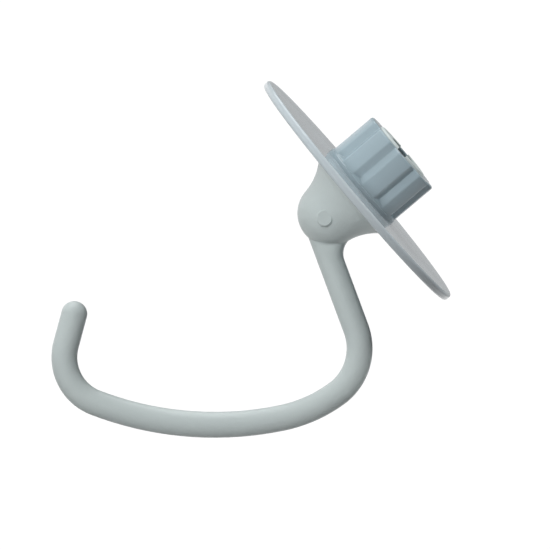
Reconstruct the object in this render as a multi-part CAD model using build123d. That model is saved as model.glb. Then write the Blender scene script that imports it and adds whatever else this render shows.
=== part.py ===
from build123d import *
import math
import os

# Stand mixer dough hook: a cast C-shaped hook with a plastic splash guard on its drive hub.
# Millimetres, +Z up along the drive axis. The origin is on that axis, at the seat where the guard
# rests on the casting. +X points to the side that the arm leaves from, and the arm lies in the XZ plane.

# Splash guard: plate
guard_diameter = 97.4
guard_thickness = 2.9
guard_edge_bevel = 0.7

# Splash guard: collar round the drive hub
collar_diameter = 32.4
collar_height = 19.0
collar_top_chamfer = 0.8
collar_foot_diameter = 33.0
collar_foot_height = 1.7
collar_foot_bevel = 0.25
collar_ring_height = 0.3

# Flutes in the collar: V-shaped, each with a sloping lower end
flute_count = 9
flute_width = 5.05
flute_depth = 1.5
flute_end_slope = 35.0
flute_first_angle = -100.6

# Drive hub of the casting, inside the collar
hub_diameter = 23.0
hub_proud = 0.6
hub_top_chamfer = 0.8
guard_clearance = 0.05

# Drive socket and the size of its two bayonet slots
shaft_diameter = 11.5
shaft_clearance = 0.1
socket_depth = 26.0
cross_pin_diameter = 3.5
cross_pin_clearance = 0.15
bayonet_depth = 9.0
bayonet_turn = 45.0
bayonet_seat_rise = 1.2

# Boss: round bulb, concave flare and flange under the guard
bulb_radius = 11.4
bulb_drop = 10.7
flare_radius = 19.4
flange_diameter = 35.5
flange_land = 0.8

# Raised ejector pad on the side of the bulb
ejector_pad_diameter = 5.8
ejector_pad_drop = 12.7
ejector_pad_proud = 0.45
ejector_pad_bevel = 0.4

# Arm: straight run out of the boss, then four tangent bends and a short straight tip with a dome
arm_diameter = 9.0
arm_drop = 16.63
arm_fall = 19.85
arm_run = 38.5
shoulder_radius = 19.5
shoulder_turn = 74.2
flank_radius = 49.0
flank_turn = 24.3
belly_radius = 115.0
belly_turn = 32.7
heel_radius = 16.8
heel_turn = 84.3
tip_run = 11.1
tip_dome_height = 4.4
arm_root_fillet = 1.2

# Web in the inner corner between the arm and the flare, as thick as the arm
root_web_radius = 6.5
root_web_sink = 0.4

# Worked out from the sizes above
collar_radius = collar_diameter / 2
collar_top = guard_thickness + collar_height
hub_radius = hub_diameter / 2
hub_top = collar_top + hub_proud
guard_bore_radius = hub_radius + guard_clearance
socket_diameter = shaft_diameter + 2 * shaft_clearance
slot_width = cross_pin_diameter + 2 * cross_pin_clearance
cut_margin = 1.0


def round_bar(diameter, low, high):
    """Upright cylinder on the drive axis between two levels."""
    return Pos(0, 0, low) * Cylinder(diameter / 2, high - low, align=(Align.CENTER, Align.CENTER, Align.MIN))


def direction(vector):
    """Angle of a flat vector from the first axis, in degrees."""
    return math.degrees(math.atan2(vector.Y, vector.X))


def flare_centre():
    """Centre of the flare's arc, which touches the bulb and ends at the flange's lower edge."""
    bulb = Vector(0, -bulb_drop)
    reach = Vector(flange_diameter / 2, -flange_land) - bulb
    touch = bulb_radius + flare_radius
    along = (touch**2 - flare_radius**2 + reach.length**2) / (2 * reach.length)
    across = math.sqrt(touch**2 - along**2)
    outward = Vector(reach.Y, -reach.X).normalized()
    return bulb + reach.normalized() * along + outward * across


def boss():
    """Bulb, flare, flange and drive hub, turned from one half outline, its seam away from the arm."""
    bulb = Vector(0, -bulb_drop)
    flange_edge = Vector(flange_diameter / 2, -flange_land)
    flare = flare_centre()
    bulb_end = direction(flare - bulb)
    flare_start = bulb_end + 180
    flare_end = direction(flange_edge - flare) % 360
    bulb_arc = CenterArc(bulb, bulb_radius, -90, bulb_end + 90)
    flare_arc = CenterArc(flare, flare_radius, flare_start, flare_end - flare_start)
    upper = Polyline(
        flare_arc @ 1,
        (flange_diameter / 2, 0),
        (hub_radius, 0),
        (hub_radius, hub_top - hub_top_chamfer),
        (hub_radius - hub_top_chamfer, hub_top),
        (0, hub_top),
        bulb_arc @ 0,
    )
    outline = make_face(Plane.XZ * (bulb_arc + flare_arc + upper))
    return Rot(0, 0, 180) * revolve(outline, Axis.Z)


def tip_dome():
    """Rounded end for the arm, half an ellipse turned about its axis."""
    radius = arm_diameter / 2
    crown = EllipticalCenterArc((0, 0), radius, tip_dome_height, 0, arc_size=90)
    base = Polyline((0, tip_dome_height), (0, 0), (radius, 0))
    return revolve(make_face(Plane.XZ * (crown + base)), Axis.Z)


def arm():
    """Round bar along the hook's route, with a domed tip."""
    root = PolarLine((0, -arm_drop), arm_run, -arm_fall)
    shoulder = JernArc(root @ 1, root % 1, shoulder_radius, -shoulder_turn)
    flank = JernArc(shoulder @ 1, shoulder % 1, flank_radius, -flank_turn)
    belly = JernArc(flank @ 1, flank % 1, belly_radius, -belly_turn)
    heel = JernArc(belly @ 1, belly % 1, heel_radius, -heel_turn)
    tip = PolarLine(heel @ 1, tip_run, direction=heel % 1)
    route = Plane.XZ * (root + shoulder + flank + belly + heel + tip)
    section = Plane(origin=route @ 0, z_dir=route % 0) * Circle(arm_diameter / 2)
    return sweep(section, path=route) + Plane(origin=route @ 1, z_dir=route % 1) * tip_dome()


def root_web():
    """Full-round web in the inner corner: its edge runs on from the arm's side and sinks into the flare."""
    half = arm_diameter / 2
    rise = half + root_web_radius
    root = Vector(0, -arm_drop)
    along = Vector(1, 0).rotate(Axis.Z, -arm_fall)
    upward = Vector(0, 1).rotate(Axis.Z, -arm_fall)
    flare = flare_centre()
    apart = flare_radius - root_web_radius + root_web_sink
    level = rise - (flare - root).dot(upward)
    start = root + along * ((flare - root).dot(along) - math.sqrt(apart**2 - level**2))
    turn = (start + upward * rise - flare).get_angle(-upward)
    bend = JernArc(start, -along, rise, -turn)
    side = Polyline(bend @ 1, root, start)
    plate = extrude(make_face(Plane.XZ * (bend + side)), half, both=True)
    edge = Plane.XZ * bend
    return plate + sweep(Plane(origin=edge @ 0, z_dir=edge % 0) * Circle(half), path=edge)


def ejector_pad():
    """Short round stub through the bulb's side, its bevelled end proud of the bulb."""
    level = bulb_drop - ejector_pad_drop
    front = math.sqrt(bulb_radius**2 - level**2) + ejector_pad_proud
    stub = Cylinder(ejector_pad_diameter / 2, front, align=(Align.CENTER, Align.CENTER, Align.MIN))
    stub = chamfer(stub.edges().sort_by(Axis.Z)[-1], ejector_pad_bevel)
    return Pos(0, 0, -ejector_pad_drop) * Rot(90, 0, 0) * stub


def bayonet_slot():
    """Entry, turn and raised seat of one bayonet slot, cut from the axis outwards."""
    reach = hub_radius + cut_margin
    level = hub_top - bayonet_depth
    side = (Align.CENTER, Align.MIN, Align.MIN)
    entry = Pos(0, 0, level) * Box(slot_width, reach, bayonet_depth + cut_margin, align=side)
    corridor_face = Plane.YZ * Pos(0, level) * Rectangle(reach, slot_width, align=(Align.MIN, Align.CENTER))
    corridor = revolve(corridor_face, Axis.Z, bayonet_turn)
    seat = Box(slot_width, reach, bayonet_seat_rise, align=side)
    bar = Rot(-90, 0, 0) * Cylinder(slot_width / 2, reach, align=(Align.CENTER, Align.CENTER, Align.MIN))
    end = Rot(0, 0, bayonet_turn) * Pos(0, 0, level)
    turning = entry + corridor + Pos(0, 0, level) * bar
    resting = seat + bar + Pos(0, 0, bayonet_seat_rise) * bar
    return turning + end * resting


def hook():
    """The whole casting: boss, arm and pad, with the drive socket cut into its hub."""
    turned = boss()
    bar = arm() + root_web()
    blank = turned + bar
    blank = fillet(new_edges(turned, bar, combined=blank), arm_root_fillet)
    blank += ejector_pad()
    blank -= round_bar(socket_diameter, hub_top - socket_depth, hub_top + cut_margin)
    slot = bayonet_slot()
    blank -= slot
    blank -= Rot(0, 0, 180) * slot
    return blank


def flute():
    """V-shaped cutter on the +X side of the collar, with a sloping lower end."""
    half_width = flute_width / 2
    face = math.sqrt(collar_radius**2 - half_width**2)
    apex = collar_radius - flute_depth
    spread = half_width / (face - apex)
    outside = collar_radius + cut_margin
    wide = (outside - apex) * spread
    low = guard_thickness + collar_foot_height + collar_ring_height
    slope = math.tan(math.radians(flute_end_slope))
    top = collar_top + cut_margin
    wedge = extrude(make_face(Polyline((apex, 0), (outside, -wide), (outside, wide), close=True)), top)
    side = Polyline(
        (apex, low + flute_depth * slope),
        (outside, low - cut_margin * slope),
        (outside, top),
        (apex, top),
        close=True,
    )
    return wedge & extrude(make_face(Plane.XZ * side), wide, both=True)


def splash_guard():
    """Plate with a bevelled rim and a fluted collar that is pushed over the hub."""
    plate = round_bar(guard_diameter, 0, guard_thickness)
    plate = chamfer(plate.edges(), guard_edge_bevel)
    foot = round_bar(collar_foot_diameter, 0, guard_thickness + collar_foot_height)
    foot = chamfer(foot.edges().sort_by(Axis.Z)[-1], collar_foot_bevel)
    collar = round_bar(collar_diameter, 0, collar_top)
    collar = chamfer(collar.edges().sort_by(Axis.Z)[-1], collar_top_chamfer)
    for index in range(flute_count):
        collar -= Rot(0, 0, flute_first_angle + index * 360 / flute_count) * flute()
    bore = round_bar(2 * guard_bore_radius, -cut_margin, collar_top + cut_margin)
    return plate + foot + collar - bore


os.makedirs("parts", exist_ok=True)
export_step(hook(), "parts/hook.step")
export_step(splash_guard(), "parts/splash_guard.step")
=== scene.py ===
import bmesh
import bpy
import math
from mathutils import Matrix, Vector


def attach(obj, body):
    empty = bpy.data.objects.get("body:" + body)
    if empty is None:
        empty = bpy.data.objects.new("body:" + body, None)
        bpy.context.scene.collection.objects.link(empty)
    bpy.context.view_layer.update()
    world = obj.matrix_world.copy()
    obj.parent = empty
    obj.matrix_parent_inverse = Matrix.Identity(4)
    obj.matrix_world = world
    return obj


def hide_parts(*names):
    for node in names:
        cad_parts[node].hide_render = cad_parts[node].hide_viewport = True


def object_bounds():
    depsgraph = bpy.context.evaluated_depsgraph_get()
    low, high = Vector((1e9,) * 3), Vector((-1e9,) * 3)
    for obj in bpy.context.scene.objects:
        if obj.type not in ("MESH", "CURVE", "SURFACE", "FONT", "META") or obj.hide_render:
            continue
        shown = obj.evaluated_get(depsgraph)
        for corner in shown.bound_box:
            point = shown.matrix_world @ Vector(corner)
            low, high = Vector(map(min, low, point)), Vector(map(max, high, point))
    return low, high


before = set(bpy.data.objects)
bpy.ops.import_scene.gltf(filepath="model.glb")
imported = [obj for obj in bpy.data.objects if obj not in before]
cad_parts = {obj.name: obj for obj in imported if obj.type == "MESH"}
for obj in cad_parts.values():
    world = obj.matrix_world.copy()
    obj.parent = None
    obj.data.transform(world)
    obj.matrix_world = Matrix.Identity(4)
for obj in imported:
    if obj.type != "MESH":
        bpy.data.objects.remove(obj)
cadLow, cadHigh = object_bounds()
scene = bpy.context.scene
scene.view_settings.view_transform = "Standard"
mm = 0.001
print("frame loaded:", ", ".join(sorted(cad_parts)))


def linear(hexColour):  # sRGB hex to linear RGBA
    channels = [int(hexColour[i:i + 2], 16) / 255 for i in (1, 3, 5)]
    return [c / 12.92 if c <= 0.04045 else ((c + 0.055) / 1.055) ** 2.4 for c in channels] + [1.0]


# settings give properties or socket values by name, links give the source of each linked socket
def addNode(tree, kind, settings=None, links=None):
    node = tree.nodes.new(kind)
    for name, value in (settings or {}).items():
        if isinstance(name, str) and hasattr(node, name):
            setattr(node, name, value)
        else:
            node.inputs[name].default_value = value
    for name, source in (links or {}).items():
        tree.links.new(source, node.inputs[name])
    return node


def newMaterial(name):
    material = bpy.data.materials.new(name)
    material.use_nodes = True
    material.node_tree.nodes.clear()
    return material, material.node_tree


def softLess(a, b, rounding):  # the smaller of two, with the corner between them rounded
    return min(a, b) - max(rounding - abs(a - b), 0) ** 2 / (4 * rounding)


def softMore(a, b, rounding):  # the larger of two, with the corner between them rounded
    return -softLess(-a, -b, rounding)


# Camera: the photograph's view, long lens, a little above the plate and rolled with the tilted drive axis
photoView = {
    "target": Vector((3.87, 0.0, -39.04)) * mm,  # what sits at the middle of the picture
    "width": 189.9 * mm,  # width of the picture at the target
    "distance": 3000 * mm,
    "elevation": math.radians(3.975),  # 3.2 degrees above the plate, which is higher than the target
    "axisTilt": math.radians(40.18),  # the drive axis rises to the right by this
    "sensor": 36.0,
    "nearest": 0.05,  # metres, as the next
    "farthest": 80,
}
rise = photoView["elevation"]
tilt = photoView["axisTilt"]
levelUp = Vector((0, math.sin(rise), math.cos(rise)))
towardCamera = Vector((0, -math.cos(rise), math.sin(rise)))
pictureRight = Vector((1, 0, 0)) * math.sin(tilt) + levelUp * math.cos(tilt)
pictureUp = levelUp * math.sin(tilt) - Vector((1, 0, 0)) * math.cos(tilt)
lens = bpy.data.cameras.new("photoCamera")
lens.sensor_width = photoView["sensor"]
lens.lens = photoView["sensor"] * photoView["distance"] / photoView["width"]
lens.clip_start = photoView["nearest"]
lens.clip_end = photoView["farthest"]
camera = bpy.data.objects.new("photoCamera", lens)
turn = Matrix((pictureRight, pictureUp, towardCamera)).transposed().to_4x4()
camera.matrix_world = Matrix.Translation(photoView["target"] + towardCamera * photoView["distance"]) @ turn
scene.collection.objects.link(camera)
scene.camera = camera
print("camera set")

noiseLow, noiseHigh = 0.3, 0.7  # most of a noise lies between these
mixFrom, mixTo, mixed = 6, 7, 2  # a Mix node's sockets for colours, two in and one out

# Powder-coated cast aluminium: blasted smooth, sprayed and baked. Seen as a pale grey-green satin skin with a
# faint orange peel and a slight drift in tone, no bare metal.
castCoat = {
    "colour": "#c5cfce",
    "driftColour": "#bfc9c9",
    "driftSize": 14.0 * mm,
    "driftDetail": 3.0,
    "peelSize": 2.6 * mm,
    "peelDetail": 1.0,
    "peelHeight": 0.15 * mm,  # several times the real height, so that it shows
    "grainSize": 0.7 * mm,  # real grain is near 0.1 mm, drawn coarser so that it shows
    "grainDetail": 2.0,
    "grainHeight": 0.05 * mm,
    "roughness": (0.36, 0.46),
    "ior": 1.5,
}
coat, tree = newMaterial("powderCoatedCasting")
place = addNode(tree, "ShaderNodeTexCoord").outputs["Object"]
noise = {}
for pattern in ("drift", "peel", "grain"):
    settings = {"Scale": 1 / castCoat[pattern + "Size"], "Detail": castCoat[pattern + "Detail"]}
    noise[pattern] = addNode(tree, "ShaderNodeTexNoise", settings, {"Vector": place}).outputs["Fac"]
colours = {mixFrom: linear(castCoat["driftColour"]), mixTo: linear(castCoat["colour"])}
tone = addNode(tree, "ShaderNodeMix", {"data_type": "RGBA", **colours}, {"Factor": noise["drift"]})
smoothest, roughest = castCoat["roughness"]
gloss = addNode(tree, "ShaderNodeMapRange",
                {"From Min": noiseLow, "From Max": noiseHigh, "To Min": smoothest, "To Max": roughest},
                {"Value": noise["drift"]})
peel = addNode(tree, "ShaderNodeBump", {"Strength": 1.0, "Distance": castCoat["peelHeight"]},
               {"Height": noise["peel"]})
grain = addNode(tree, "ShaderNodeBump", {"Strength": 1.0, "Distance": castCoat["grainHeight"]},
                {"Height": noise["grain"], "Normal": peel.outputs["Normal"]})
skin = addNode(tree, "ShaderNodeBsdfPrincipled", {"IOR": castCoat["ior"]},
               {"Base Color": tone.outputs[mixed], "Roughness": gloss.outputs["Result"],
                "Normal": grain.outputs["Normal"]})
addNode(tree, "ShaderNodeOutputMaterial", {}, {"Surface": skin.outputs["BSDF"]})
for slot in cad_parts["hook"].material_slots:
    slot.material = coat
print("casting coated")

# Polypropylene, injection moulded in a polished tool. Seen as a cool milky gloss with a shallow wave. Round the
# collar it is painted deeper and bluer as painted shade; the paler colour is the plastic's own.
guardPlastic = {
    # the plastic's own colour, away from the collar
    "unshaded": "#b9c3c8",
    # painted shade: the collar darker and bluer than the plastic's own colour
    "collarShade": "#98aab2",
    "unshadedFrom": 18.2 * mm,  # radius from which there is no painted shade, just past the flange behind it
    "collarShadeTo": 16.2 * mm,  # radius inside which the painted shade is at its full depth
    "driftSize": 22.0 * mm,
    "driftDetail": 2.0,
    "driftShare": 0.12,  # how far the tone strays from one colour towards the other
    "waveSize": 9.0 * mm,
    "waveDetail": 1.0,
    "waveHeight": 0.01 * mm,
    "roughness": (0.07, 0.13),
    "ior": 1.49,
}
plastic, tree = newMaterial("mouldedPolypropylene")
place = addNode(tree, "ShaderNodeTexCoord").outputs["Object"]
noise = {}
for pattern in ("drift", "wave"):
    settings = {"Scale": 1 / guardPlastic[pattern + "Size"], "Detail": guardPlastic[pattern + "Detail"]}
    noise[pattern] = addNode(tree, "ShaderNodeTexNoise", settings, {"Vector": place}).outputs["Fac"]
flatPlace = addNode(tree, "ShaderNodeVectorMath", {"operation": "MULTIPLY", 1: (1, 1, 0)}, {0: place})
radius = addNode(tree, "ShaderNodeVectorMath", {"operation": "LENGTH"}, {0: flatPlace.outputs["Vector"]})
# painted shade round the collar, fading out with radius across the plate
unshadedness = addNode(tree, "ShaderNodeMapRange",
                   {"From Min": guardPlastic["collarShadeTo"], "From Max": guardPlastic["unshadedFrom"]},
                   {"Value": radius.outputs["Value"]})
stray = guardPlastic["driftShare"]
driftPart = addNode(tree, "ShaderNodeMapRange",
                    {"From Min": noiseLow, "From Max": noiseHigh, "To Min": -stray, "To Max": stray},
                    {"Value": noise["drift"]})
blend = addNode(tree, "ShaderNodeMath", {"operation": "ADD", "use_clamp": True},
                {0: unshadedness.outputs["Result"], 1: driftPart.outputs["Result"]})
colours = {mixFrom: linear(guardPlastic["collarShade"]), mixTo: linear(guardPlastic["unshaded"])}
tone = addNode(tree, "ShaderNodeMix", {"data_type": "RGBA", **colours}, {"Factor": blend.outputs["Value"]})
smoothest, roughest = guardPlastic["roughness"]
gloss = addNode(tree, "ShaderNodeMapRange",
                {"From Min": noiseLow, "From Max": noiseHigh, "To Min": smoothest, "To Max": roughest},
                {"Value": noise["drift"]})
wave = addNode(tree, "ShaderNodeBump", {"Strength": 1.0, "Distance": guardPlastic["waveHeight"]},
               {"Height": noise["wave"]})
skin = addNode(tree, "ShaderNodeBsdfPrincipled", {"IOR": guardPlastic["ior"]},
               {"Base Color": tone.outputs[mixed], "Roughness": gloss.outputs["Result"],
                "Normal": wave.outputs["Normal"]})
addNode(tree, "ShaderNodeOutputMaterial", {}, {"Surface": skin.outputs["BSDF"]})
print("plastic made")

# Splash guard: one moulding, its outline turned round the drive axis, with the flutes pressed into the collar
guardShape = {  # millimetres and degrees
    "plateRadius": 48.7,
    "plateThick": 2.9,
    "rimRound": 1.0,
    "footRadius": 16.5,
    "footHeight": 1.7,
    "footBevel": 0.3,
    "footRound": 0.12,  # where the foot meets the plate and the collar
    "collarRadius": 16.2,
    "collarHeight": 19.0,
    "topRound": 0.8,
    "boreRadius": 11.55,
    "edgeRound": 0.25,
    "supportGap": 0.25,  # to the rows beside each rounded corner, which keep the flats flat
    "footGap": 0.04,  # the same at the foot's small corners
    "arcSteps": 6,
    "fluteCount": 9,
    "fluteFirst": -100.6,
    "fluteWidth": 5.05,
    "fluteDepth": 1.5,
    "fluteEndSlope": 35.0,
    "ringHeight": 0.3,  # plain ring between the foot and the flutes
    "creaseRound": 0.3,
    "valleySoft": 0.01,  # radians, softens the line at a flute's bottom
    "wallRows": 34,
    "evenRows": 0.35,  # 1 spaces the wall's rows evenly, less gathers them at the flutes' ends
    "halfPitch": (0, 0.4, 0.8, 1.5, 2.5, 3.5, 4.5, 5.5, 6.5, 7.3, 7.9, 8.4, 8.9, 9.4, 9.9, 10.6, 12, 14, 17),
    "sharpFrom": 50,
}


def roundedCorner(before, corner, after, rounding, gap):  # rows of one corner of the outline
    steps = guardShape["arcSteps"]
    toBefore = (before - corner).normalized()
    toAfter = (after - corner).normalized()
    half = toBefore.angle(toAfter) / 2
    setBack = rounding / math.tan(half)
    middle = corner + (toBefore + toAfter).normalized() * (rounding / math.sin(half))
    start = corner + toBefore * setBack - middle
    rows = [corner + toBefore * (setBack + gap)]
    sweep = start.angle_signed(corner + toAfter * setBack - middle)
    for step in range(steps + 1):
        angle = -sweep * step / steps
        turned = Vector((start.x * math.cos(angle) - start.y * math.sin(angle),
                         start.x * math.sin(angle) + start.y * math.cos(angle)))
        rows.append(middle + turned)
    rows.append(corner + toAfter * (setBack + gap))
    return rows


def fluteWall(angle, height):  # radius of the collar's wall at an angle from the nearest flute's middle
    g = guardShape
    half = g["fluteWidth"] / 2
    valley = g["collarRadius"] - g["fluteDepth"]
    lip = math.sqrt(g["collarRadius"] ** 2 - half ** 2)
    low = g["plateThick"] + g["footHeight"] + g["ringHeight"]
    lean = math.tan(math.sqrt(math.radians(angle) ** 2 + g["valleySoft"] ** 2))
    share = valley * lean / (half - (lip - valley) * lean)  # of the way from the valley to the lip
    side = math.hypot(valley + share * (lip - valley), share * half)
    end = g["collarRadius"] - (height - low) / math.tan(math.radians(g["fluteEndSlope"]))
    return softLess(g["collarRadius"], softMore(side, end, g["creaseRound"]), g["creaseRound"])


def makeGuard():
    g = guardShape
    foot = g["plateThick"] + g["footHeight"]
    top = g["plateThick"] + g["collarHeight"]
    collarTop = (g["collarRadius"], top, g["topRound"])  # the fluted wall leads up to this corner
    corners = [  # radius, height and rounding, from the bore's lower edge out, up and back in
        (g["boreRadius"], 0, g["edgeRound"]),
        (g["plateRadius"], 0, g["rimRound"]),
        (g["plateRadius"], g["plateThick"], g["rimRound"]),
        (g["footRadius"], g["plateThick"], g["footRound"]),
        (g["footRadius"], foot - g["footBevel"], g["footRound"]),
        (g["collarRadius"], foot, g["footRound"]),
        collarTop,
        (g["boreRadius"], top, g["edgeRound"]),
    ]
    outline = []  # radius, height and whether the flutes press it in
    for index, corner in enumerate(corners):
        x, z, rounding = corner
        before = Vector(corners[index - 1][:2])
        after = Vector(corners[(index + 1) % len(corners)][:2])
        gap = g["footGap"] if rounding == g["footRound"] else g["supportGap"]
        rows = roundedCorner(before, Vector((x, z)), after, rounding, gap)
        fluted = corner == collarTop
        if fluted:
            low = outline[-1][1]
            for row in range(1, g["wallRows"]):
                share = row / g["wallRows"]
                share = g["evenRows"] * share + (1 - g["evenRows"]) * share ** 3
                outline.append((g["collarRadius"], low + (rows[0].y - low) * share, True))
        outline += [(row.x, row.y, fluted) for row in rows]
    pitch = 360 / g["fluteCount"]
    turns = [-a for a in reversed(g["halfPitch"][1:])] + list(g["halfPitch"]) + [pitch / 2]
    points = []
    for flute in range(g["fluteCount"]):
        for fromMiddle in turns:
            angle = math.radians(g["fluteFirst"] + flute * pitch + fromMiddle)
            for x, z, pressed in outline:
                if pressed:
                    x -= g["collarRadius"] - fluteWall(fromMiddle, min(z, top - g["topRound"]))
                points.append((x * math.cos(angle) * mm, x * math.sin(angle) * mm, z * mm))
    rows = len(outline)
    columns = len(points) // rows
    faces = []
    for column in range(columns):
        here, there = column * rows, (column + 1) % columns * rows
        for row in range(rows):
            above = (row + 1) % rows
            faces.append((here + row, there + row, there + above, here + above))
    mesh = bpy.data.meshes.new("guardMoulding")
    mesh.from_pydata(points, [], faces)
    shell = bmesh.new()
    shell.from_mesh(mesh)
    bmesh.ops.recalc_face_normals(shell, faces=shell.faces)
    shell.to_mesh(mesh)
    shell.free()
    mesh.shade_smooth()
    mesh.set_sharp_from_angle(angle=math.radians(g["sharpFrom"]))
    mesh.materials.append(plastic)
    guard = bpy.data.objects.new("guardMoulding", mesh)
    scene.collection.objects.link(guard)
    print("guard moulded:", len(points), "points")
    return guard


guard = makeGuard()
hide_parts("splash_guard")
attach(guard, "root")

# Stage: pale floor and a pale wall all round it, sizes in metres
stageLook = {
    "floorDrop": 60 * mm,  # the hook hangs clear of the floor
    "floorHalf": 14.0,
    "floorColour": "#8c8c8c",  # what it throws back on the part
    "floorWhite": 0.8,  # added where the camera or a reflection looks at it
    "backdropFar": 12.0,  # the wall stands above the picture, and the plate's top mirrors it
    "backdropHigh": 4.0,
    "backdropSides": 48,
    "backdropColour": "#c8c8c8",
    "backdropWhite": 0.27,
    "ambient": 0.11,
}


def stagePaint(name, colour, whiteLevel):  # matt paint, with white added for what looks straight at it
    paint, tree = newMaterial(name)
    ray = addNode(tree, "ShaderNodeLightPath").outputs
    seen = ray["Is Camera Ray"]
    for kind in ("Is Glossy Ray", "Is Transmission Ray"):
        seen = addNode(tree, "ShaderNodeMath", {"operation": "MAXIMUM"}, {0: seen, 1: ray[kind]}).outputs[0]
    glow = addNode(tree, "ShaderNodeMath", {"operation": "MULTIPLY", 1: whiteLevel}, {0: seen})
    matte = addNode(tree, "ShaderNodeBsdfDiffuse", {"Color": linear(colour)})
    white = addNode(tree, "ShaderNodeEmission", {}, {"Strength": glow.outputs[0]})
    both = addNode(tree, "ShaderNodeAddShader", {}, {0: matte.outputs[0], 1: white.outputs[0]})
    addNode(tree, "ShaderNodeOutputMaterial", {}, {"Surface": both.outputs[0]})
    return paint


def stagePiece(name, points, faces, paint):
    mesh = bpy.data.meshes.new(name)
    mesh.from_pydata(points, [], faces)
    mesh.materials.append(paint)
    piece = bpy.data.objects.new(name, mesh)
    scene.collection.objects.link(piece)
    return piece


half = stageLook["floorHalf"]
level = cadLow.z - stageLook["floorDrop"]
floorPoints = [(x, y, level) for x, y in ((-half, -half), (half, -half), (half, half), (-half, half))]
floorPaint = stagePaint("paleFloor", stageLook["floorColour"], stageLook["floorWhite"])
floor = stagePiece("floor", floorPoints, [(0, 1, 2, 3)], floorPaint)

far, sides = stageLook["backdropFar"], stageLook["backdropSides"]
ring = [(far * math.cos(math.tau * k / sides), far * math.sin(math.tau * k / sides)) for k in range(sides)]
wallPoints = [(x, y, z) for z in (level, stageLook["backdropHigh"]) for x, y in ring]
wallFaces = [(k, k + sides, (k + 1) % sides + sides, (k + 1) % sides) for k in range(sides)]
wallPaint = stagePaint("paleBackdrop", stageLook["backdropColour"], stageLook["backdropWhite"])
backdrop = stagePiece("backdrop", wallPoints, wallFaces, wallPaint)
backdrop.visible_shadow = False  # the lamps stand outside it
backdrop.visible_diffuse = False

world = bpy.data.worlds.new("softSurround")
scene.world = world
world.use_nodes = True
tree = world.node_tree
tree.nodes.clear()
sky = addNode(tree, "ShaderNodeBackground", {"Color": (1, 1, 1, 1), "Strength": stageLook["ambient"]})
addNode(tree, "ShaderNodeOutputWorld", {}, {"Surface": sky.outputs[0]})
print("stage set")

# Soft lamps: the key is a panel at the camera's left, level with the plate so that it reaches the boss under it; a
# broad one lights what faces up in the picture, and the others fill the plate's top and the far side
softLamps = {
    "keyLamp": {
        "from": Vector((-0.47, -0.88, 0)),
        "level": 0.6,
        "aim": Vector((0, 0, -20)) * mm,
        "far": 1.2,  # metres, as the panel's sides
        "panel": (0.5, 0.28),
    },
    "upperLamp": {
        "from": pictureRight * -0.33 + pictureUp * 0.92 - towardCamera * 0.2,
        "level": 0.74,
        "spread": 76,
        "mirrored": True,  # the only lamp that shows as a highlight
    },
    "topLamp": {"from": Vector((0, 0, 1)), "level": 0.5, "spread": 20},
    "backLamp": {"from": Vector((0.5, 0.85, 0.12)), "level": 0.42, "spread": 25},
}
for lampName, look in softLamps.items():
    way = look["from"].normalized()
    lampData = bpy.data.lights.new(lampName, "AREA" if "panel" in look else "SUN")
    lampData.energy = look["level"] * math.pi  # a level of 1 shows a matt colour as it is written
    lamp = bpy.data.objects.new(lampName, lampData)
    lamp.matrix_world = way.to_track_quat("Z", "Y").to_matrix().to_4x4()
    if "panel" in look:
        lampData.shape = "RECTANGLE"
        lampData.size, lampData.size_y = look["panel"]
        lampData.energy *= math.pi * look["far"] ** 2
        lamp.location = look["aim"] + way * look["far"]
    else:
        lampData.angle = math.radians(look["spread"])
    lamp.visible_camera = False
    lamp.visible_glossy = look.get("mirrored", False)
    scene.collection.objects.link(lamp)
print("lamps set")
